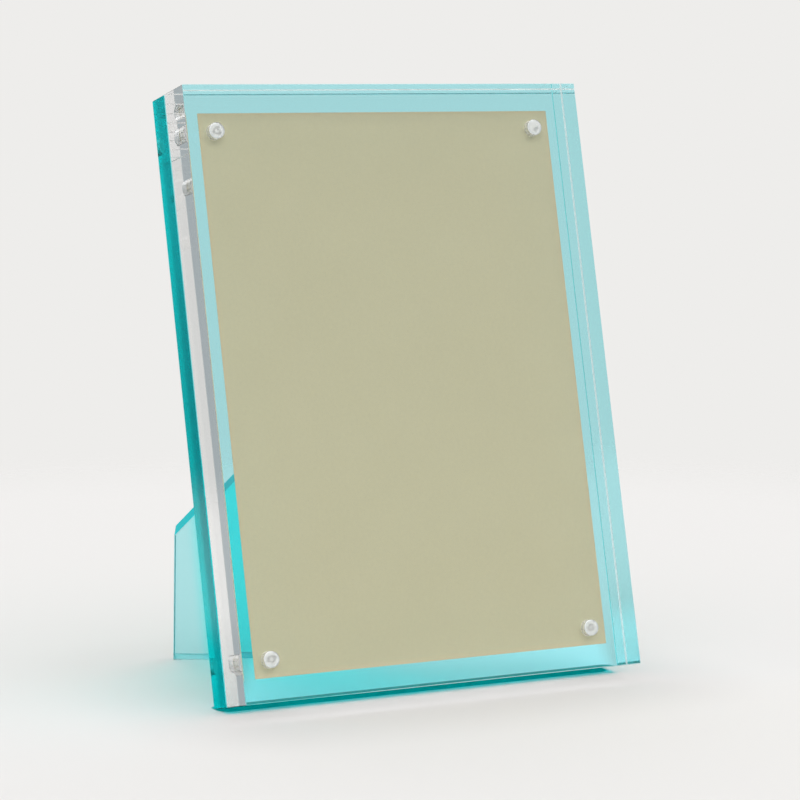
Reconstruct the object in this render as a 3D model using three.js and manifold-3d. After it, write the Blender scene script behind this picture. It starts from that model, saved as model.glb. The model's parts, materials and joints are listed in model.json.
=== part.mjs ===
// A block photo frame for a five by seven inch print, made of thick polished acrylic.
//
// A clear block lies on a tinted block, and the print is held between them by four pairs of
// magnets set into blind bores in the two faces that meet. The front block has no fastener:
// it is pulled straight off the magnets. A pointed easel leg of tinted sheet is bonded to the
// back. Its foot has two edges, one that stands on the table when the frame is upright and
// one that does so when the frame is laid on its left side.
//
// Millimetres. X runs to the viewer's right, Y away from the viewer and Z up. The origin is
// on the table, in the middle of the ground that the frame covers.

import * as THREE from 'three';
import { mergeVertices } from 'three/addons/utils/BufferGeometryUtils.js';
import Module from 'manifold-3d';

// The print that the frame is made for, and where it lies between the blocks.
const CARD_WIDTH = 127;
const CARD_HEIGHT = 178;
const CARD_THICKNESS = 0.25;
const CARD_CLEARANCE = 0.075;
const CARD_SHIFT_RIGHT = 0.6;
const CARD_SHIFT_UP = 0.2;

// The two blocks.
const SIDE_BORDER = 7.6;
const END_BORDER = 7.55;
const CLEAR_THICKNESS = 14.2;
const TINT_THICKNESS = 9.5;
const BLOCK_BEVEL = 0.2;

// The magnets, and the bores that they are bonded into.
const MAGNET_DIAMETER = 5;
const MAGNET_LENGTH = 3.4;
const MAGNET_BEVEL = 0.25;
const MAGNET_INSET = 13.3;
const MAGNET_SINK = 0.1;
const BOND_GAP = 0.15;
const BORE_SEGMENTS = 40;

// How the frame stands, and the easel leg.
const LEAN = THREE.MathUtils.degToRad(13.2);
const LEG_SHEET = 6;
const LEG_WIDTH = 61;
const LEG_BEVEL = 0.25;
const LEG_TILT = THREE.MathUtils.degToRad(48.9);
const FOOT_INSET = 21.8;
const FOOT_REACH = 80.6;
const LEG_SEAT_GAP = 0.3;

// Worked out from the sizes above. In the frame's own axes x is across the blocks, z is up
// their faces and y is straight through them, with the tinted block's back face at y = 0.
const BLOCK_WIDTH = CARD_WIDTH + 2 * SIDE_BORDER;
const BLOCK_HEIGHT = CARD_HEIGHT + 2 * END_BORDER;
const CARD_GAP = CARD_THICKNESS + 2 * CARD_CLEARANCE;
const TINT_FACE_Y = -TINT_THICKNESS;
const CLEAR_FACE_Y = TINT_FACE_Y - CARD_GAP;
const BORE_DIAMETER = MAGNET_DIAMETER + 2 * BOND_GAP;
const BORE_DEPTH = MAGNET_SINK + MAGNET_LENGTH + BOND_GAP;
// The leg runs down along the diagonal of the blocks.
const LEG_TURN = Math.atan2(BLOCK_HEIGHT, BLOCK_WIDTH);

const wasm = await Module();
wasm.setup();

// A closed geometry as a solid that can be cut and joined.
function solidFrom(geometry) {
  const bare = geometry.clone();
  bare.deleteAttribute('normal');
  bare.deleteAttribute('uv');
  const merged = mergeVertices(bare, 1e-4);
  return new wasm.Manifold(new wasm.Mesh({
    numProp: 3,
    vertProperties: new Float32Array(merged.attributes.position.array),
    triVerts: new Uint32Array(merged.index.array),
  }));
}

function geometryFrom(solid) {
  const mesh = solid.getMesh();
  const geometry = new THREE.BufferGeometry();
  geometry.setAttribute('position', new THREE.BufferAttribute(mesh.vertProperties, 3));
  geometry.setIndex(new THREE.BufferAttribute(mesh.triVerts, 1));
  return geometry;
}

function piece(name, geometry, color, roughness, metalness = 0) {
  const material = new THREE.MeshStandardMaterial({ color, roughness, metalness });
  geometry.computeVertexNormals();
  const mesh = new THREE.Mesh(geometry, material);
  mesh.name = name;
  return mesh;
}

// A sheet or block cut from a flat outline, with every edge bevelled. It starts at z = 0 and
// grows towards +z.
function bevelledSlab(outline, thickness, bevel) {
  const slab = new THREE.ExtrudeGeometry(outline, {
    depth: thickness - 2 * bevel,
    bevelEnabled: true,
    bevelThickness: bevel,
    bevelSize: bevel,
    bevelOffset: -bevel,
    bevelSegments: 1,
    curveSegments: 1,
  });
  slab.translate(0, 0, bevel);
  return slab;
}

// A rectangle with its corners cut at 45 degrees by the same bevel, centred on x and standing
// on y = 0.
function blockOutline(width, height, bevel) {
  const half = width / 2;
  const outline = new THREE.Shape();
  outline.moveTo(-half + bevel, 0);
  outline.lineTo(half - bevel, 0);
  outline.lineTo(half, bevel);
  outline.lineTo(half, height - bevel);
  outline.lineTo(half - bevel, height);
  outline.lineTo(-half + bevel, height);
  outline.lineTo(-half, height - bevel);
  outline.lineTo(-half, bevel);
  outline.closePath();
  return outline;
}

// A block whose back face lies at backY, standing on the frame's own floor line.
function blockGeometry(thickness, backY) {
  const slab = bevelledSlab(blockOutline(BLOCK_WIDTH, BLOCK_HEIGHT, BLOCK_BEVEL), thickness, BLOCK_BEVEL);
  slab.rotateX(Math.PI / 2);
  slab.translate(0, backY, 0);
  return slab;
}

// The four corners where magnets sit, the same in both blocks.
function magnetPlaces() {
  const x = BLOCK_WIDTH / 2 - MAGNET_INSET;
  const top = BLOCK_HEIGHT - MAGNET_INSET;
  return [
    { corner: 'top_left', x: -x, z: top },
    { corner: 'top_right', x, z: top },
    { corner: 'bottom_left', x: -x, z: MAGNET_INSET },
    { corner: 'bottom_right', x, z: MAGNET_INSET },
  ];
}

// Cuts the four blind bores into a block from the face at faceY. inward is +1 where the block
// lies behind that face and -1 where it lies in front of it.
function boreBlock(block, faceY, inward) {
  const overrun = 1;
  const depth = BORE_DEPTH + overrun;
  for (const place of magnetPlaces()) {
    const drill = new THREE.CylinderGeometry(BORE_DIAMETER / 2, BORE_DIAMETER / 2, depth, BORE_SEGMENTS);
    drill.translate(place.x, faceY + inward * (BORE_DEPTH - depth / 2), place.z);
    block = block.subtract(solidFrom(drill));
  }
  return block;
}

// A disc magnet with bevelled rims, its axis along y and its middle at the origin.
function magnetGeometry() {
  const radius = MAGNET_DIAMETER / 2;
  const half = MAGNET_LENGTH / 2;
  const profile = [
    new THREE.Vector2(0, -half),
    new THREE.Vector2(radius - MAGNET_BEVEL, -half),
    new THREE.Vector2(radius, -half + MAGNET_BEVEL),
    new THREE.Vector2(radius, half - MAGNET_BEVEL),
    new THREE.Vector2(radius - MAGNET_BEVEL, half),
    new THREE.Vector2(0, half),
  ];
  return new THREE.LatheGeometry(profile, BORE_SEGMENTS);
}

function magnets(prefix, faceY, inward) {
  const middleY = faceY + inward * (MAGNET_SINK + MAGNET_LENGTH / 2);
  return magnetPlaces().map((place) => {
    const disc = geometryFrom(solidFrom(magnetGeometry()));
    const magnet = piece(`${prefix}_magnet_${place.corner}`, disc, 0xcfd0cc, 0.35, 0.6);
    magnet.position.set(place.x, middleY, place.z);
    return magnet;
  });
}

function clearBlock() {
  const solid = boreBlock(solidFrom(blockGeometry(CLEAR_THICKNESS, CLEAR_FACE_Y)), CLEAR_FACE_Y, -1);
  return piece('clear_front_block', geometryFrom(solid), 0xeef4f4, 0.03);
}

function tintedBlock() {
  const solid = boreBlock(solidFrom(blockGeometry(TINT_THICKNESS, 0)), TINT_FACE_Y, 1);
  return piece('tinted_back_block', geometryFrom(solid), 0x3fc4cc, 0.03);
}

function insertCard() {
  const outline = new THREE.Shape();
  outline.moveTo(-CARD_WIDTH / 2, 0);
  outline.lineTo(CARD_WIDTH / 2, 0);
  outline.lineTo(CARD_WIDTH / 2, CARD_HEIGHT);
  outline.lineTo(-CARD_WIDTH / 2, CARD_HEIGHT);
  outline.closePath();
  const sheet = new THREE.ExtrudeGeometry(outline, { depth: CARD_THICKNESS, bevelEnabled: false });
  sheet.rotateX(Math.PI / 2);
  const card = piece('insert_card', geometryFrom(solidFrom(sheet)), 0xb8b79b, 0.7);
  card.position.set(CARD_SHIFT_RIGHT, TINT_FACE_Y - CARD_CLEARANCE, END_BORDER + CARD_SHIFT_UP);
  return card;
}

// The leg as a flat sheet in its own plane. Its axis is the line up the middle of the strip,
// its side runs across the strip towards the upper left, and its back is the way the sheet
// gets its thickness.
function legDirections() {
  const across = new THREE.Vector3(Math.cos(LEG_TURN), 0, Math.sin(LEG_TURN));
  const through = new THREE.Vector3(0, 1, 0);
  const axis = across.clone().multiplyScalar(Math.cos(LEG_TILT)).addScaledVector(through, -Math.sin(LEG_TILT));
  const back = across.clone().multiplyScalar(Math.sin(LEG_TILT)).addScaledVector(through, Math.cos(LEG_TILT));
  const side = new THREE.Vector3().crossVectors(axis, back);
  return { axis, back, side };
}

// Where the point of the foot meets the table. The blocks stand on the edge between their
// underside and the bevel below the back face.
function footPoint() {
  return new THREE.Vector3(
    -BLOCK_WIDTH / 2 + FOOT_INSET,
    -BLOCK_BEVEL + FOOT_REACH * Math.cos(LEAN),
    FOOT_REACH * Math.sin(LEAN),
  );
}

// Where the leg's plane cuts a table, as a direction in the leg's own plane: u along its side
// and v up its axis. up is square to that table.
function footEdge(up, { axis, back, side }) {
  const edge = new THREE.Vector3().crossVectors(back, up).normalize();
  if (edge.dot(axis) < 0) {
    edge.negate();
  }
  return { u: edge.dot(side), v: edge.dot(axis) };
}

// The strip's outline: a point between the two foot edges, two straight sides, and a top that
// runs on past the block's back face, where it is cut to its seat.
function legOutline(directions, foot) {
  const half = LEG_WIDTH / 2;
  const upright = new THREE.Vector3(0, -Math.sin(LEAN), Math.cos(LEAN));
  const sideLean = Math.atan2(foot.x + BLOCK_WIDTH / 2, foot.y + BLOCK_BEVEL);
  const lying = new THREE.Vector3(Math.cos(sideLean), -Math.sin(sideLean), 0);
  const right = footEdge(upright, directions);
  const left = footEdge(lying, directions);
  const rise = (foot.y + TINT_THICKNESS) / Math.sin(LEG_TILT);
  const outline = new THREE.Shape();
  outline.moveTo(0, 0);
  outline.lineTo(-half, (-half / right.u) * right.v);
  outline.lineTo(-half, rise);
  outline.lineTo(half, rise);
  outline.lineTo(half, (half / left.u) * left.v);
  outline.closePath();
  return outline;
}

function easelLeg() {
  const directions = legDirections();
  const foot = footPoint();
  const sheet = bevelledSlab(legOutline(directions, foot), LEG_SHEET, LEG_BEVEL);
  // The foot stands on the edge between its own bevel and its cut face.
  sheet.translate(0, 0, -LEG_BEVEL);
  const placing = new THREE.Matrix4().makeBasis(directions.side, directions.axis, directions.back);
  placing.setPosition(foot);
  sheet.applyMatrix4(placing);
  const seat = new THREE.BoxGeometry(3 * BLOCK_WIDTH, 2 * TINT_THICKNESS, 3 * BLOCK_HEIGHT);
  seat.translate(0, LEG_SEAT_GAP - TINT_THICKNESS, 0);
  const solid = solidFrom(sheet).subtract(solidFrom(seat));
  return piece('easel_leg', geometryFrom(solid), 0x7fdde2, 0.03);
}

// Everything is built square to the blocks and then leaned back, so that the blocks stand on
// their lower back edge and the leg on its foot.
const leaning = new THREE.Group();
leaning.rotation.x = -LEAN;
leaning.add(
  clearBlock(),
  tintedBlock(),
  insertCard(),
  ...magnets('front', CLEAR_FACE_Y, -1),
  ...magnets('back', TINT_FACE_Y, 1),
  easelLeg(),
);

const frame = new THREE.Group();
frame.add(leaning);
frame.updateMatrixWorld(true);
const covered = new THREE.Box3().setFromObject(frame, true);
const middle = covered.getCenter(new THREE.Vector3());
leaning.position.set(-middle.x, -middle.y, -covered.min.z);

export default frame;
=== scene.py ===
# %% [markdown]
# # A block photo frame in clear and tinted acrylic
#
# The real frame is two polished acrylic blocks with a print between them. Magnets in the corners
# hold the blocks together, and a flat leg behind props them up. The solids are finished when this
# lesson starts, so its whole work is light: see-through, paper and metal finishes, a pale table,
# and the soft surroundings that clear things need to be seen at all. Lengths are in metres.

import json
import math

import bpy
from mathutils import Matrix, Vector

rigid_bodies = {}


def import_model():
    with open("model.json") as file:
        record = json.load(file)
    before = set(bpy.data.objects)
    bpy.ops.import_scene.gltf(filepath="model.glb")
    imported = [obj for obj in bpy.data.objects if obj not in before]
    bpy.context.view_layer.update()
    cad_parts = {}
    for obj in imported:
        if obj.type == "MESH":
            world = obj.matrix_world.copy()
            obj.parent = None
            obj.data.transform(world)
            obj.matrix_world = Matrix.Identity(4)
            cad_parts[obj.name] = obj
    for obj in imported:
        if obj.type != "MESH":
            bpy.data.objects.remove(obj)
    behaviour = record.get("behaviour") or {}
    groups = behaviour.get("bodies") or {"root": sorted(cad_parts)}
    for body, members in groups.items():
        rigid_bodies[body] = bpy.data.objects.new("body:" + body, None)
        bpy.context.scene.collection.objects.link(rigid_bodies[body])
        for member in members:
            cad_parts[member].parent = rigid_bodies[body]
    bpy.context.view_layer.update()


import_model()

# %% [markdown]
# ## Nodes and links
#
# A finish is a chain of small nodes. It could be wired by hand in the shader editor, but a script
# can be read, repeated and changed. Three helpers do the wiring. Where a value is the same all
# over a surface, link sets it on the socket itself, so that an exporter still finds it there.

# %% Make nodes and join them


def new_material(name):
    material = bpy.data.materials.new(name)
    material.use_nodes = True
    tree = material.node_tree
    tree.nodes.clear()
    output = tree.nodes.new("ShaderNodeOutputMaterial")
    return material, tree, output


def add(tree, kind, **settings):
    node = tree.nodes.new(kind)
    for key, value in settings.items():
        setattr(node, key, value)
    return node


def link(tree, source, target):
    """Feeds a socket from another node's socket, or sets it where a plain value is given."""
    if isinstance(source, bpy.types.NodeSocket):
        tree.links.new(source, target)
    else:
        target.default_value = source


# %% [markdown]
# ## Sums, ramps and mixes
#
# Marks on a surface are worked out from the place of each point: a sum gives its distance from
# something, a ramp turns the distance into an amount, and a mix turns the amount into a colour.
# These helpers keep each such step on one line.

# %% Work out an amount


def maths(tree, operation, first, second=0.0):
    node = add(tree, "ShaderNodeMath", operation=operation)
    link(tree, first, node.inputs[0])
    link(tree, second, node.inputs[1])
    return node.outputs[0]


def ramp(tree, value, start, end, low=0.0, high=1.0, smooth=False):
    """Takes a value from start..end over to low..high, and holds it there outside that range."""
    node = add(tree, "ShaderNodeMapRange")
    if smooth:
        node.interpolation_type = "SMOOTHSTEP"
    node.inputs["From Min"].default_value = start
    node.inputs["From Max"].default_value = end
    node.inputs["To Min"].default_value = low
    node.inputs["To Max"].default_value = high
    link(tree, value, node.inputs["Value"])
    return node.outputs["Result"]


def noise(tree, coords, scale, detail=4.0, roughness=0.5):
    node = add(tree, "ShaderNodeTexNoise")
    node.inputs["Scale"].default_value = scale
    node.inputs["Detail"].default_value = detail
    node.inputs["Roughness"].default_value = roughness
    link(tree, coords, node.inputs["Vector"])
    return node.outputs["Fac"]


# %% Turn an amount into a colour or a bump


def blend(tree, amount, first, second):
    """Mixes two colours, which a Mix node takes in its inputs 6 and 7 and gives in its output 2."""
    node = add(tree, "ShaderNodeMix", data_type="RGBA")
    link(tree, amount, node.inputs["Factor"])
    link(tree, (*first, 1) if isinstance(first, tuple) else first, node.inputs[6])
    link(tree, (*second, 1) if isinstance(second, tuple) else second, node.inputs[7])
    return node.outputs[2]


def bumps(tree, height, strength, distance):
    node = add(tree, "ShaderNodeBump")
    node.inputs["Strength"].default_value = strength
    node.inputs["Distance"].default_value = distance
    link(tree, height, node.inputs["Height"])
    return node.outputs["Normal"]


# %% [markdown]
# ## Axes that lean with the frame
#
# The frame leans back, so its edges don't run along the world's axes. Patterns could be fitted
# piece by piece, but one pair of nodes does it for all of them: it moves the Object coordinates
# to the middle of the tinted block's lower back edge and turns them upright. After that x runs
# across the frame, y straight back through it and z up its face.

# %% Lean the coordinates
LEAN = math.radians(13.2)
FRAME_ORIGIN = (0.0, -0.0306349, -0.0000457)


def frame_coords(tree):
    coords = add(tree, "ShaderNodeTexCoord")
    moved = add(tree, "ShaderNodeVectorMath", operation="SUBTRACT")
    moved.inputs[1].default_value = FRAME_ORIGIN
    link(tree, coords.outputs["Object"], moved.inputs[0])
    turned = add(tree, "ShaderNodeVectorRotate", rotation_type="X_AXIS")
    turned.inputs["Angle"].default_value = LEAN
    link(tree, moved.outputs[0], turned.inputs["Vector"])
    return turned.outputs[0]


def split_axes(tree, place):
    parts = add(tree, "ShaderNodeSeparateXYZ")
    link(tree, place, parts.inputs[0])
    return parts.outputs["X"], parts.outputs["Y"], parts.outputs["Z"]


print(f"The frame leans back by {math.degrees(LEAN):.1f} degrees")

# %% [markdown]
# ## Sides and edges of the blocks
#
# On a real block the big faces are as cast, the narrow sides are sawn and polished, and the small
# bevels between them stay a little dull from the buffing wheel. The solids carry one material
# each, so the material itself has to know where it is: it measures how far a point lies inside
# the block's sizes in each direction.

# %% Measure inwards from the sides
BLOCK_WIDTH = 0.1422
BLOCK_HEIGHT = 0.1931
BLOCK_BEVEL = 0.0002
# Points closer to a face than this are taken to lie on it.
ON_FACE = 0.0001


def inwards(tree, value, middle, width):
    """How far a value lies inside a band."""
    away = maths(tree, "ABSOLUTE", maths(tree, "SUBTRACT", value, middle))
    return maths(tree, "SUBTRACT", width / 2, away)


def narrow_sides(tree, place):
    """One on the blocks' four narrow sides, and nought on their faces."""
    x, _, z = split_axes(tree, place)
    side = inwards(tree, x, 0.0, BLOCK_WIDTH)
    up = inwards(tree, z, BLOCK_HEIGHT / 2, BLOCK_HEIGHT)
    return maths(tree, "LESS_THAN", maths(tree, "MINIMUM", side, up), ON_FACE)


def block_edges(tree, place, front, back):
    """One on the small bevels along a block's edges, where two distances are short at once."""
    x, y, z = split_axes(tree, place)
    side = inwards(tree, x, 0.0, BLOCK_WIDTH)
    up = inwards(tree, z, BLOCK_HEIGHT / 2, BLOCK_HEIGHT)
    deep = inwards(tree, y, (front + back) / 2, back - front)
    nearest = maths(tree, "MAXIMUM", side, up)
    nearest = maths(tree, "MINIMUM", nearest, maths(tree, "MAXIMUM", side, deep))
    nearest = maths(tree, "MINIMUM", nearest, maths(tree, "MAXIMUM", up, deep))
    return ramp(tree, nearest, BLOCK_BEVEL * 1.02, BLOCK_BEVEL * 0.98)


# %% [markdown]
# ## Bores for the magnets
#
# A drill leaves a matt wall and a slightly smoother bottom. Both are seen through the polished
# block, where they make the magnets look as if they sat in frosted cups. The bores all have the
# same distance from the sides, so folding the frame onto one quarter finds the nearest of them.

# %% Roughen the bores
TINT_THICKNESS = 0.0095
CARD_GAP = 0.0004
MAGNET_INSET = 0.0133
BORE_RADIUS = 0.00265
BORE_DEPTH = 0.00365
BORE_WALL_ROUGHNESS = 0.45
BORE_END_ROUGHNESS = 0.3


def diagonal(tree, first, second):
    """The long side of a right-angled triangle."""
    squares = (maths(tree, "POWER", part, 2) for part in (first, second))
    return maths(tree, "SQRT", maths(tree, "ADD", *squares))


def magnet_radius(tree, place):
    """How far a point is from the axis of the nearest magnet."""
    x, _, z = split_axes(tree, place)
    side = inwards(tree, x, 0.0, BLOCK_WIDTH - 2 * MAGNET_INSET)
    up = inwards(tree, z, BLOCK_HEIGHT / 2, BLOCK_HEIGHT - 2 * MAGNET_INSET)
    return diagonal(tree, side, up)


def bores(tree, place):
    _, y, _ = split_axes(tree, place)
    depth = maths(tree, "ABSOLUTE", maths(tree, "ADD", y, TINT_THICKNESS + CARD_GAP / 2))
    near = maths(tree, "LESS_THAN", magnet_radius(tree, place), BORE_RADIUS + ON_FACE)
    inside = maths(tree, "LESS_THAN", depth, BORE_DEPTH + CARD_GAP / 2 + ON_FACE)
    matt = ramp(tree, depth, BORE_DEPTH, BORE_DEPTH + ON_FACE,
                BORE_WALL_ROUGHNESS, BORE_END_ROUGHNESS)
    return maths(tree, "MULTIPLY", matt, maths(tree, "MULTIPLY", near, inside))


print(f"Bores are {2000 * BORE_RADIUS:.1f} mm wide and {1000 * BORE_DEPTH:.2f} mm deep")

# %% [markdown]
# ## Hairlines
#
# Acrylic is soft, and wiping it leaves hairlines that only show in a glancing light. Each could
# be drawn, but a noise stretched along one direction gives as many as we like: wherever it
# crosses its middle value there is a thin, nearly straight line.

# %% Draw the hairlines
HAIRLINE_TURN = (0.3, 0.9, 0.2)
HAIRLINE_STRETCH = (1.0, 1.0, 14.0)
HAIRLINE_SCALE = 60.0
HAIRLINE_WIDTH = 0.003


def scratches(tree, place):
    stretched = add(tree, "ShaderNodeMapping")
    stretched.inputs["Rotation"].default_value = HAIRLINE_TURN
    stretched.inputs["Scale"].default_value = HAIRLINE_STRETCH
    link(tree, place, stretched.inputs["Vector"])
    lines = noise(tree, stretched.outputs[0], HAIRLINE_SCALE, 2.0, 0.6)
    off_middle = maths(tree, "ABSOLUTE", maths(tree, "SUBTRACT", lines, 0.5))
    return ramp(tree, off_middle, HAIRLINE_WIDTH, 0.0)


# %% [markdown]
# ## Polished acrylic
#
# Light bends on its way into acrylic and out of it, and runs along inside a block as in a light
# guide. A thin see-through shell would miss that, so the material is a full glass: a smooth
# surface that lets all light through, round a volume that takes some of it away. The tint sits in
# the volume, so it is deeper where the way is longer: pale through a face, dark along an edge.
# The cast faces get a faint ripple and the hairlines, the flat-milled sides don't.

# %% A see-through material
ACRYLIC_INDEX = 1.5
HAIRLINE_ROUGHNESS = 0.03
RIPPLE_SCALE = 22.0
RIPPLE_STRENGTH = 0.05
RIPPLE_HEIGHT = 0.00001


def acrylic(name, colour, absorb, density, marks):
    """marks gives the roughness, colour and clearness of each spot on the surface."""
    material, tree, output = new_material(name)
    place = frame_coords(tree)
    shader = add(tree, "ShaderNodeBsdfPrincipled")
    shader.inputs["IOR"].default_value = ACRYLIC_INDEX
    dull, tint, clear = marks(tree, place, colour)
    link(tree, (*tint, 1) if isinstance(tint, tuple) else tint, shader.inputs["Base Color"])
    link(tree, clear, shader.inputs["Transmission Weight"])

    faces = maths(tree, "SUBTRACT", 1.0, narrow_sides(tree, place))
    hairlines = maths(tree, "MULTIPLY", scratches(tree, place), faces)
    hairlines = maths(tree, "MULTIPLY", hairlines, HAIRLINE_ROUGHNESS)
    ripple = maths(tree, "MULTIPLY", noise(tree, place, RIPPLE_SCALE, 1.0), faces)
    link(tree, maths(tree, "ADD", dull, hairlines), shader.inputs["Roughness"])
    link(tree, bumps(tree, ripple, RIPPLE_STRENGTH, RIPPLE_HEIGHT), shader.inputs["Normal"])
    link(tree, shader.outputs[0], output.inputs["Surface"])

    volume = add(tree, "ShaderNodeVolumeAbsorption")
    volume.inputs["Color"].default_value = (*absorb, 1)
    volume.inputs["Density"].default_value = density
    link(tree, volume.outputs[0], output.inputs["Volume"])
    print(f"{name}: {len(tree.nodes)} nodes, density {density}")
    return material


# %% [markdown]
# ## The clear block
#
# The front block has hardly any colour of its own. A trace of absorption is kept, because no
# acrylic is quite white through its whole height.

# %% Clear acrylic
CLEAR_THICKNESS = 0.0142
BEVEL_ROUGHNESS = 0.3


def clear_marks(tree, place, colour):
    back = -TINT_THICKNESS - CARD_GAP
    edges = block_edges(tree, place, back - CLEAR_THICKNESS, back)
    dull = maths(tree, "MULTIPLY", edges, BEVEL_ROUGHNESS)
    return maths(tree, "MAXIMUM", dull, bores(tree, place)), colour, 1.0


clear_acrylic = acrylic(
    "clear_acrylic", colour=(1.0, 1.0, 1.0), absorb=(0.60, 0.70, 0.60), density=0.2, marks=clear_marks
)

# %% [markdown]
# ## The tinted block
#
# The back block is teal: its dye eats red and leaves green and blue nearly whole. Its upright
# sides are only flame-polished, so what they mirror and let through is soft. They also take out
# what red is left, and a painted shade makes them deepest halfway up, where light has the longest
# way from either end.

# %% Tinted acrylic
SIDE_MIDDLE = 0.095
SIDE_ROUGHNESS = 0.09
SIDE_TINT = (0.15, 1.0, 1.0)
# Painted shade: the sides' colour halfway up, darker where light runs longest inside the block.
SIDE_PAINTED_SHADE_HALFWAY = (0.10, 0.77, 0.77)


def tinted_marks(tree, place, colour):
    edges = block_edges(tree, place, -TINT_THICKNESS, 0.0)
    x, _, z = split_axes(tree, place)
    sides = maths(tree, "GREATER_THAN", maths(tree, "ABSOLUTE", x), BLOCK_WIDTH / 2 - ON_FACE)
    dull = maths(tree, "MAXIMUM", maths(tree, "MULTIPLY", edges, BEVEL_ROUGHNESS),
                 maths(tree, "MULTIPLY", sides, SIDE_ROUGHNESS))
    off_middle = maths(tree, "ABSOLUTE", maths(tree, "SUBTRACT", z, SIDE_MIDDLE))
    # The painted shade is strongest halfway up the sides and fades towards both ends.
    painted_shade_halfway = ramp(tree, off_middle, 0.07, 0.02, smooth=True)
    tint = blend(tree, sides, colour, blend(tree, painted_shade_halfway, SIDE_TINT, SIDE_PAINTED_SHADE_HALFWAY))
    return maths(tree, "MAXIMUM", dull, bores(tree, place)), tint, 1.0


tinted_acrylic = acrylic(
    "tinted_acrylic",
    colour=(0.82, 0.895, 0.94),
    absorb=(0.0, 0.974, 0.976),
    density=60.0,
    marks=tinted_marks,
)

# %% [markdown]
# ## Where the leg's sides lie
#
# The leg is a strip of flat sheet, set along the back's diagonal and tilted out from it. Its foot
# has two cut faces: one for the frame standing upright, one for it lying on its side. The strip
# matches none of the frame's axes, so its planes are worked out here with vectors, from the same
# sizes and angles that the solid was cut with. The point that they start from is the corner
# where both cuts meet.

# %% The leg's directions
LEG_WIDTH = 0.061
LEG_TURN = math.atan2(BLOCK_HEIGHT, BLOCK_WIDTH)
LEG_TILT = math.radians(48.9)
FOOT_INSET = 0.0218
FOOT_REACH = 0.0806

across = Vector((math.cos(LEG_TURN), 0, math.sin(LEG_TURN)))
through = Vector((0, 1, 0))
leg_axis = across * math.cos(LEG_TILT) - through * math.sin(LEG_TILT)
leg_back = across * math.sin(LEG_TILT) + through * math.cos(LEG_TILT)
leg_side = leg_axis.cross(leg_back)
foot = Vector((
    -BLOCK_WIDTH / 2 + FOOT_INSET,
    -BLOCK_BEVEL + FOOT_REACH * math.cos(LEAN),
    FOOT_REACH * math.sin(LEAN),
))
print("The foot's corner is at", *(f"{1000 * part:.1f}" for part in foot), "mm")

# %% The two cut edges of the foot
table_upright = Vector((0, -math.sin(LEAN), math.cos(LEAN)))
lying_lean = math.atan2(FOOT_INSET, foot.y + BLOCK_BEVEL)
table_lying = Vector((math.cos(lying_lean), -math.sin(lying_lean), 0))
upright_edge = leg_back.cross(table_upright)
lying_edge = leg_back.cross(table_lying)
print(f"On its side the frame leans back by {math.degrees(lying_lean):.1f} degrees")

# %% [markdown]
# ## The leg's finish
#
# In the photograph the strip's long sides are a strong teal that a clear sheet of this thickness
# couldn't show, so they let hardly any light through. Nearer to its seat the sheet looks deeper,
# and the foot's cuts are left as the saw made them, the one on the table painted brighter than the
# other as painted light.

# %% Colours and finishes of the leg
DEEP_FROM = -0.0398
DEEP_TO = -0.0345
DEEP_SLANT = 0.313
DEEP_START_HEIGHT = 0.0199
DEEP_TINT = (0.05, 1.0, 1.0)
LEG_SIDE_TINT = (0.02, 0.78, 0.84)
WALL_CUT_TINT = (0.45, 0.80, 0.83)
# Painted light: the cut on the table is coloured brighter than the other cut.
TABLE_CUT_PAINTED_LIGHT = (1.0, 1.0, 1.0)
TABLE_CUT_DEEP_TINT = (0.04, 0.60, 0.66)
SAWN_ROUGHNESS = 0.35
LEG_SIDE_ROUGHNESS = 0.12
SIDES_OPAQUE = 0.94
SAWN_OPAQUE = 0.5
TABLE_CUT_OPAQUE = 0.85

# %% Distances from the leg's planes


def off_plane(tree, place, normal):
    """How far a point is from the plane through the foot's corner with this normal."""
    node = add(tree, "ShaderNodeVectorMath", operation="DOT_PRODUCT")
    link(tree, place, node.inputs[0])
    node.inputs[1].default_value = normal
    height = maths(tree, "SUBTRACT", node.outputs["Value"], foot.dot(normal))
    return maths(tree, "ABSOLUTE", height)


def strongest(tree, *pairs):
    """The largest of several masks, each times its own amount."""
    amounts = [maths(tree, "MULTIPLY", mask, amount) for mask, amount in pairs]
    result = amounts[0]
    for amount in amounts[1:]:
        result = maths(tree, "MAXIMUM", result, amount)
    return result


# %% Leg acrylic


def leg_marks(tree, place, colour):
    table_cut, wall_cut = (
        maths(tree, "LESS_THAN", off_plane(tree, place, edge.cross(leg_back).normalized()), ON_FACE)
        for edge in (upright_edge, lying_edge)
    )
    sawn = maths(tree, "MAXIMUM", table_cut, wall_cut)
    sides = off_plane(tree, place, leg_side)
    sides = maths(tree, "GREATER_THAN", sides, LEG_WIDTH / 2 - ON_FACE)

    x, _, z = split_axes(tree, place)
    rise = maths(tree, "SUBTRACT", z, DEEP_START_HEIGHT)
    rise = maths(tree, "MULTIPLY", rise, DEEP_SLANT)
    deep = ramp(tree, maths(tree, "ADD", x, rise), DEEP_FROM, DEEP_TO, smooth=True)
    tint = blend(tree, deep, colour, DEEP_TINT)
    tint = blend(tree, sides, tint, LEG_SIDE_TINT)
    tint = blend(tree, wall_cut, tint, WALL_CUT_TINT)
    # Painted light on the cut that stands on the table, deeper towards the seat.
    painted_lit_cut_tint = blend(tree, deep, TABLE_CUT_PAINTED_LIGHT, TABLE_CUT_DEEP_TINT)
    tint = blend(tree, table_cut, tint, painted_lit_cut_tint)

    dull = strongest(tree, (sawn, SAWN_ROUGHNESS), (sides, LEG_SIDE_ROUGHNESS))
    opaque = strongest(tree, (sides, SIDES_OPAQUE), (sawn, SAWN_OPAQUE), (table_cut, TABLE_CUT_OPAQUE))
    return dull, tint, maths(tree, "SUBTRACT", 1.0, opaque)


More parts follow.
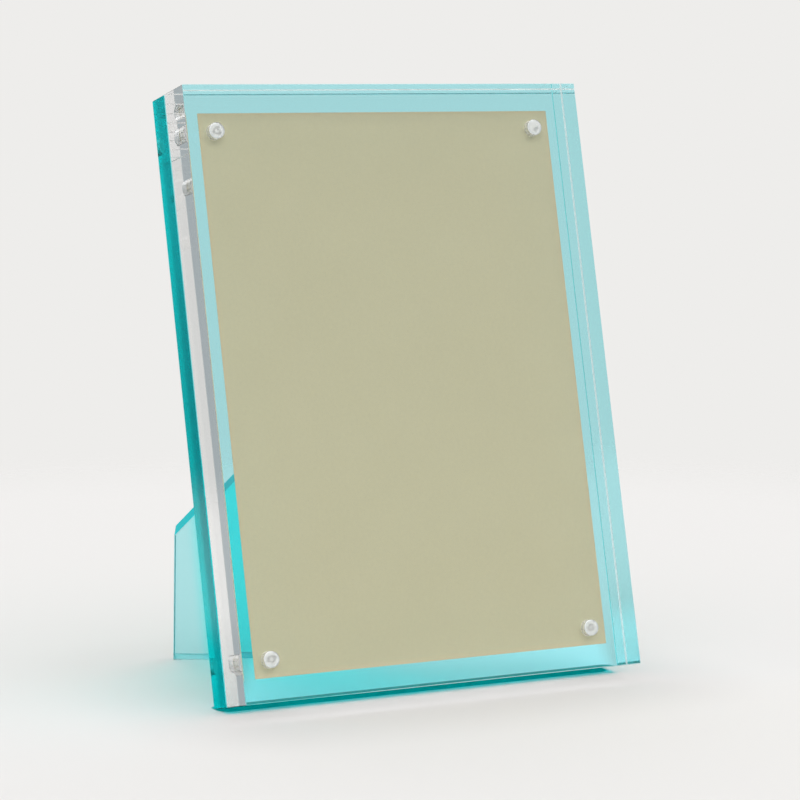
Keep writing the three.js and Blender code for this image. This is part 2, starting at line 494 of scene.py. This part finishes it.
leg_acrylic = acrylic(
    "leg_acrylic",
    colour=(0.875, 0.92, 0.955),
    absorb=(0.0, 0.965, 0.968),
    density=82.0,
    marks=leg_marks,
)

# %% [markdown]
# ## The print
#
# The print is a blank khaki card with a fine fibre grain and a slightly warmer line round its
# edge. Two noises, one for fibres and one for clouds, mix two near colours, and the same fibres
# make a very low bump, so that light from the side still finds paper and not plastic.

# %% Print paper
CARD_WIDTH = 0.127
CARD_HEIGHT = 0.178
CARD_SHIFT_RIGHT = 0.0006
CARD_BOTTOM = 0.00775
FIBRE_SCALE = 900.0
FIBRE_HEIGHT = 0.0001
CLOUD_SCALE = 40.0
# Each line round the edge starts to show at the first distance from it and is full at the second.
THIN_LINE = (0.0007, 0.0003)
BROAD_LINE = (0.0020, 0.0014)
THIN_LINE_AMOUNT = 0.8
BROAD_LINE_AMOUNT = 0.12
PAPER_DARK = (0.628, 0.592, 0.384)
PAPER_LIGHT = (0.670, 0.634, 0.420)
PAPER_EDGE = (0.69, 0.57, 0.345)


def paper_colour(tree, place, fibres):
    cloud = maths(tree, "MULTIPLY", noise(tree, place, CLOUD_SCALE, 3.0), 0.3)
    grain = maths(tree, "ADD", maths(tree, "MULTIPLY", fibres, 0.7), cloud)
    field = blend(tree, ramp(tree, grain, 0.3, 0.7), PAPER_DARK, PAPER_LIGHT)

    x, _, z = split_axes(tree, place)
    side = inwards(tree, x, CARD_SHIFT_RIGHT, CARD_WIDTH)
    up = inwards(tree, z, CARD_BOTTOM + CARD_HEIGHT / 2, CARD_HEIGHT)
    inset = maths(tree, "MINIMUM", side, up)
    thin = ramp(tree, inset, *THIN_LINE)
    broad = ramp(tree, inset, *BROAD_LINE)
    warm = strongest(tree, (thin, THIN_LINE_AMOUNT), (broad, BROAD_LINE_AMOUNT))
    return blend(tree, warm, field, PAPER_EDGE)


def card_paper():
    material, tree, output = new_material("print_card")
    place = frame_coords(tree)
    fibres = noise(tree, place, FIBRE_SCALE, 6.0, 0.65)
    shader = add(tree, "ShaderNodeBsdfPrincipled")
    link(tree, paper_colour(tree, place, fibres), shader.inputs["Base Color"])
    link(tree, ramp(tree, fibres, 0.3, 0.7, 0.62, 0.8), shader.inputs["Roughness"])
    link(tree, bumps(tree, fibres, 0.25, FIBRE_HEIGHT), shader.inputs["Normal"])
    link(tree, shader.outputs[0], output.inputs["Surface"])
    return material


print_card = card_paper()
print(f"The print is {1000 * CARD_WIDTH:.0f} x {1000 * CARD_HEIGHT:.0f} mm")

# %% [markdown]
# ## The magnets
#
# The magnets are plated discs. Handling has dulled their faces, which show faint and broken
# turning rings, and a painted highlight makes their rims bright. A sine of the distance from the
# axis draws the rings, and a noise added to that distance breaks them up. Plain metal would mirror
# the dark room here and look black, so the plating is mostly diffuse with a little metal in it.

# %% Magnet plating
MOTTLE_SCALE = 420.0
RING_SPACING = 0.001496
RING_WANDER = 0.0035
RING_AMOUNT = 0.2
RING_HEIGHT = 0.0001
# The painted highlight on each rim starts at the first radius and is full at the second.
RIM_HIGHLIGHT_FROM = 0.00175
RIM_HIGHLIGHT_TO = 0.00215
FACE_EDGE = (0.0022, 0.0024)
FACE_METAL = 0.12
PLATE_DARK = (0.58, 0.57, 0.54)
PLATE_LIGHT = (1.0, 0.985, 0.94)
PLATE_RIM_HIGHLIGHT = (1.0, 1.0, 0.99)


def magnet_metal():
    material, tree, output = new_material("magnet_plate")
    place = frame_coords(tree)
    radius = magnet_radius(tree, place)
    mottle = noise(tree, place, MOTTLE_SCALE, 3.0, 0.6)
    uneven = maths(tree, "ADD", radius, maths(tree, "MULTIPLY", mottle, RING_WANDER))
    rings = maths(tree, "SINE", maths(tree, "MULTIPLY", uneven, 2 * math.pi / RING_SPACING))
    face = maths(tree, "ADD", maths(tree, "MULTIPLY", rings, RING_AMOUNT), mottle)
    inner = blend(tree, ramp(tree, face, 0.25, 0.60), PLATE_DARK, PLATE_LIGHT)
    # Painted highlight: the rim of each face is blended to near white.
    rim_highlight = ramp(tree, radius, RIM_HIGHLIGHT_FROM, RIM_HIGHLIGHT_TO, smooth=True)
    shader = add(tree, "ShaderNodeBsdfPrincipled")
    link(tree, ramp(tree, radius, *FACE_EDGE, FACE_METAL, 0.0), shader.inputs["Metallic"])
    link(tree, blend(tree, rim_highlight, inner, PLATE_RIM_HIGHLIGHT), shader.inputs["Base Color"])
    link(tree, ramp(tree, mottle, 0.3, 0.7, 0.32, 0.5), shader.inputs["Roughness"])
    link(tree, bumps(tree, face, 0.3, RING_HEIGHT), shader.inputs["Normal"])
    link(tree, shader.outputs[0], output.inputs["Surface"])
    return material


magnet_plate = magnet_metal()
print(f"The rings on the magnets are {1000 * RING_SPACING:.1f} mm apart")

# %% [markdown]
# ## Dress the solids
#
# Every solid gets its one finish. The eight magnets share theirs, since the rings are laid out
# round the nearest magnet's axis and so fit each of them.

# %% Dress the solids
looks = {
    "clear_front_block": clear_acrylic,
    "tinted_back_block": tinted_acrylic,
    "easel_leg": leg_acrylic,
    "insert_card": print_card,
}
for obj in list(bpy.data.objects):
    if obj.type != "MESH":
        continue
    look = magnet_plate if "magnet" in obj.name else looks[obj.name]
    obj.data.materials.clear()
    obj.data.materials.append(look)
    print(f"{obj.name} wears {look.name}")

# %% [markdown]
# ## The table
#
# The table is a wide pale plane without any visible end: it fades into the white backdrop. Two
# kinds of light on it are painted. Cycles finds little of the light that acrylic focuses, so a
# greenish blue pool of painted light behind the blocks and a painted dark shadow line where they
# stand are worked out from the distance to the places where they lie. A painted shade round the
# frame is worked out the same way.

# %% A plane for the table
TABLE_REACH = 1.0

signs = ((-1, -1), (1, -1), (1, 1), (-1, 1))
corners = [(across_sign * TABLE_REACH, back_sign * TABLE_REACH, 0) for across_sign, back_sign in signs]
floor_mesh = bpy.data.meshes.new("table")
floor_mesh.from_pydata(corners, [], [(0, 1, 2, 3)])
floor = bpy.data.objects.new("table", floor_mesh)
bpy.context.collection.objects.link(floor)
material, tree, output = new_material("table_top")
floor_mesh.materials.append(material)

coords = add(tree, "ShaderNodeTexCoord").outputs["Object"]
distance = add(tree, "ShaderNodeVectorMath", operation="LENGTH")
link(tree, coords, distance.inputs[0])
distance = distance.outputs["Value"]
x, y, _ = split_axes(tree, coords)


def outside_of(value, low, high):
    """How far a value is outside a range."""
    inside = inwards(tree, value, (low + high) / 2, high - low)
    return maths(tree, "MAXIMUM", maths(tree, "MULTIPLY", inside, -1.0), 0.0)


# %% [markdown]
# ## Light and shade on the table
#
# The painted light patch behind the blocks slants to the right as it goes back, the way the
# photograph is looking, and fades slowly towards the back but quickly in front. Round the frame
# the table is painted a little darker, as painted shade where the frame stands between it and the
# soft light.

# %% Painted tinted light behind the blocks
REST_LINE = FRAME_ORIGIN[1]
CAMERA_TURN = math.radians(28.1)
TABLE_COLOUR = (0.728, 0.712, 0.701)
# Painted shade: the table colour darkened round the frame.
PAINTED_SHADE_TABLE = tuple(0.86 * c for c in TABLE_COLOUR)
# Painted light: the greenish blue colour of the pool of light on the table behind the blocks.
PAINTED_LIGHT_TABLE = (0.84, 0.955, 0.98)
PATCH_SIDES = (-0.062, 0.064)
PATCH_BACK = 0.015
PATCH_SOFTNESS = 0.009
# How fast the patch fades at its front and back ends, where its sides count as one.
FRONT_FADE = 2.0
BACK_FADE = 0.12

behind_line = maths(tree, "SUBTRACT", y, REST_LINE)
slanted = maths(tree, "SUBTRACT", x, maths(tree, "MULTIPLY", behind_line, math.tan(CAMERA_TURN)))
past_front = maths(tree, "MULTIPLY", behind_line, -FRONT_FADE)
past_back = maths(tree, "MULTIPLY", maths(tree, "SUBTRACT", y, PATCH_BACK), BACK_FADE)
lengthways = maths(tree, "MAXIMUM", maths(tree, "MAXIMUM", past_front, past_back), 0.0)
beside_patch = diagonal(tree, outside_of(slanted, *PATCH_SIDES), lengthways)
painted_tinted_light = ramp(tree, beside_patch, PATCH_SOFTNESS, 0.0, smooth=True)
print(f"The tinted light is {1000 * (PATCH_SIDES[1] - PATCH_SIDES[0]):.0f} mm wide")

# %% The painted shadow line and the painted shade round the frame
# Painted shadow: the dark colour of the line where the blocks stand on the table.
PAINTED_SHADOW_LINE = (0.02, 0.32, 0.30)
LINE_SIDES = (-0.0675, 0.0666)
LINE_ENDS = (-0.033, -0.030)
LINE_SOFTNESS = (0.0042, 0.0033)
SHADE_SIDES = (-0.06, 0.06)
SHADE_ENDS = (-0.05, 0.04)
SHADE_REACH = 0.06

beside_line = diagonal(tree, outside_of(x, *LINE_SIDES), outside_of(y, *LINE_ENDS))
painted_contact_shadow = ramp(tree, beside_line, *LINE_SOFTNESS, smooth=True)
beside_frame = diagonal(tree, outside_of(x, *SHADE_SIDES), outside_of(y, *SHADE_ENDS))
weaker_behind = ramp(tree, y, 0.02, -0.05, 0.35, 1.0)
# The painted shade fades out within SHADE_REACH of the frame and is weaker behind it.
painted_shade = ramp(tree, beside_frame, SHADE_REACH, 0.0, smooth=True)
painted_shade = maths(tree, "MULTIPLY", painted_shade, weaker_behind)

surface = blend(tree, painted_shade, TABLE_COLOUR, PAINTED_SHADE_TABLE)
surface = blend(tree, painted_tinted_light, surface, PAINTED_LIGHT_TABLE)
surface = blend(tree, painted_contact_shadow, surface, PAINTED_SHADOW_LINE)

# %% [markdown]
# ## What the polished sides mirror of the table
#
# In the photograph the blocks' sides mirror the table only weakly, as through a polarising
# filter, and least close by. Cycles has no such filter, so the table shows a darker colour to
# rays that were mirrored. Rays that went through the acrylic count as glossy too, and they are
# taken out again.

# %% A darker table for mirrored rays
path = add(tree, "ShaderNodeLightPath")
mirrored_ray = maths(
    tree, "SUBTRACT", path.outputs["Is Glossy Ray"], path.outputs["Is Transmission Ray"]
)
dimmed = add(tree, "ShaderNodeVectorMath", operation="SCALE")
link(tree, surface, dimmed.inputs[0])
darkest_near = ramp(tree, distance, 0.12, 0.20, 0.03, 0.6, smooth=True)
link(tree, darkest_near, dimmed.inputs["Scale"])
surface = blend(tree, mirrored_ray, surface, dimmed.outputs[0])

# %% A matt top that fades out
FADE_FROM = 0.42
FADE_TO = 0.6

top = add(tree, "ShaderNodeBsdfDiffuse")
link(tree, surface, top.inputs["Color"])
gone = add(tree, "ShaderNodeBsdfTransparent")
mix = add(tree, "ShaderNodeMixShader")
link(tree, ramp(tree, distance, FADE_FROM, FADE_TO, smooth=True), mix.inputs["Fac"])
link(tree, top.outputs[0], mix.inputs[1])
link(tree, gone.outputs[0], mix.inputs[2])
link(tree, mix.outputs[0], output.inputs["Surface"])
print(f"The table has faded out {FADE_TO} m away, and its finish has {len(tree.nodes)} nodes")

# %% [markdown]
# ## The surroundings
#
# Clear things are drawn by what they mirror and bend. A photographer puts a white backdrop
# behind them, a wide soft box overhead, and dark flags at the sides to draw their edges; the room
# in front is dimmer. Lamps could do it, but a world that looks different in each direction gives
# the same light with less noise. The world is asked what a ray sees, and its answer depends on
# how high the ray points and how far it points away from the camera.

# %% Directions
BACKDROP = (0.855, 0.847, 0.831)
ROOM = (0.42, 0.47, 0.49)
FLAGS = (0.03, 0.032, 0.032)
SOFT_BOX = (1.7, 1.7, 1.7)
# Each is where a part of the surroundings starts to show and where it shows in full.
ROOM_EDGE = (0.15, -0.35)
BACKDROP_EDGE = (0.60, 0.76)
SOFT_BOX_EDGE = (0.45, 0.75)
TABLE_EDGE = (0.02, 0.28)
UPPER_FLAG_EDGE = (0.10, 0.20)

world = bpy.data.worlds.new("studio")
bpy.context.scene.world = world
world.use_nodes = True
tree = world.node_tree
tree.nodes.clear()
output = tree.nodes.new("ShaderNodeOutputWorld")

heading = add(tree, "ShaderNodeTexCoord").outputs["Generated"]
_, _, rise = split_axes(tree, heading)
away = add(tree, "ShaderNodeVectorMath", operation="DOT_PRODUCT")
away.inputs[1].default_value = (math.sin(CAMERA_TURN), math.cos(CAMERA_TURN), 0)
link(tree, heading, away.inputs[0])
away = away.outputs["Value"]

in_front = ramp(tree, away, *ROOM_EDGE, smooth=True)
behind = ramp(tree, away, *BACKDROP_EDGE, smooth=True)
overhead = ramp(tree, rise, *SOFT_BOX_EDGE, smooth=True)
above_table = ramp(tree, rise, *TABLE_EDGE, smooth=True)

# %% [markdown]
# ## Flags, backdrop and soft box
#
# Mirrored rays see the flags, rays through the acrylic see the plain backdrop behind it, and the
# camera sees nothing but backdrop. One more flag, behind and above the frame, keeps the leg's
# polished upper side deep in colour.

# %% Colours of the surroundings
ray = add(tree, "ShaderNodeLightPath")
flag = ramp(tree, rise, *UPPER_FLAG_EDGE, smooth=True)
flag = maths(tree, "MULTIPLY", flag, ray.outputs["Is Glossy Ray"])
behind = maths(tree, "MULTIPLY", behind, maths(tree, "SUBTRACT", 1.0, flag))

mirrored = blend(tree, maths(tree, "MULTIPLY", in_front, above_table), FLAGS, ROOM)
mirrored = blend(tree, behind, mirrored, BACKDROP)
through_acrylic = blend(tree, in_front, tuple(0.94 * c for c in BACKDROP), ROOM)
seen = blend(tree, ray.outputs["Is Transmission Ray"], mirrored, through_acrylic)
seen = blend(tree, overhead, seen, SOFT_BOX)
seen = blend(tree, ray.outputs["Is Camera Ray"], seen, BACKDROP)
background = add(tree, "ShaderNodeBackground")
link(tree, seen, background.inputs["Color"])
link(tree, background.outputs[0], output.inputs["Surface"])
print(f"The surroundings have {len(tree.nodes)} nodes and no lamp")

# %% [markdown]
# ## The camera
#
# The photograph was taken with a long lens, from the left and a little above. Such a lens keeps
# the frame's edges nearly parallel, so the camera stands about a metre away. It was placed by
# matching the frame's straight edges.

# %% Camera
LENS = 137.36
CAMERA_PITCH = math.radians(6.12)
CAMERA_PLACE = (-0.4602, -0.85165 + REST_LINE, 0.1970)

camera_data = bpy.data.cameras.new("camera")
camera_data.sensor_width = 36.0
camera_data.lens = LENS
camera_data.clip_start = 0.01
camera = bpy.data.objects.new("camera", camera_data)
bpy.context.collection.objects.link(camera)
forward = Vector((
    math.sin(CAMERA_TURN) * math.cos(CAMERA_PITCH),
    math.cos(CAMERA_TURN) * math.cos(CAMERA_PITCH),
    -math.sin(CAMERA_PITCH),
))
camera.location = CAMERA_PLACE
camera.rotation_euler = forward.to_track_quat("-Z", "Y").to_euler()
bpy.context.scene.camera = camera
print(f"The camera is {camera.location.length:.2f} m from the middle of the ground")

# %% [markdown]
# ## Long light paths
#
# A ray may run up a block by bouncing between its faces dozens of times before it leaves. With
# few bounces allowed the sides would turn black, so the limits are high, and no glossy ray is
# blurred to save time.

# %% Light paths
scene = bpy.context.scene
scene.view_settings.view_transform = "Standard"
scene.cycles.max_bounces = 48
scene.cycles.glossy_bounces = 32
scene.cycles.transmission_bounces = 32
scene.cycles.transparent_max_bounces = 32
scene.cycles.diffuse_bounces = 6
scene.cycles.blur_glossy = 0.0
print("A ray may bounce", scene.cycles.max_bounces, "times")
